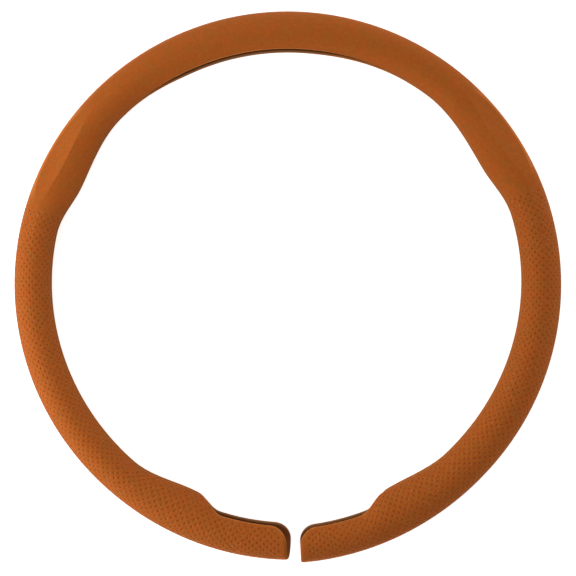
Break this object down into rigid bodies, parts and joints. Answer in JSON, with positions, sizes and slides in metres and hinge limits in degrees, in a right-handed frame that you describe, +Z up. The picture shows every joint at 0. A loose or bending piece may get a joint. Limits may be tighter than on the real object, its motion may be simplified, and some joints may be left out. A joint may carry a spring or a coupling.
{
  "type": "steering wheel cover",
  "caption": "Moulded suede-look sleeve of C section, bent round into an open ring, that is pushed over a car's steering wheel rim as a softer grip.",
  "frame": {"origin": "middle of the footprint of the ring, on the surface that it lies on", "axes": "+Z up through the ring, from its back to its front face; +Y from the gap between the ends to 12 o'clock; +X to the right, seen from the front"},
  "size_m": [0.3856, 0.389, 0.034],
  "materials": {
    "tan_suede": "soft matt suede look, finely perforated over both hands' grips, smooth across the top",
    "lining": "plain dull inside face of the same moulding, a darker brown"
  },
  "bodies": {
    "root": {"wheel_cover": "tan_suede"}
  },
  "joints": []
}
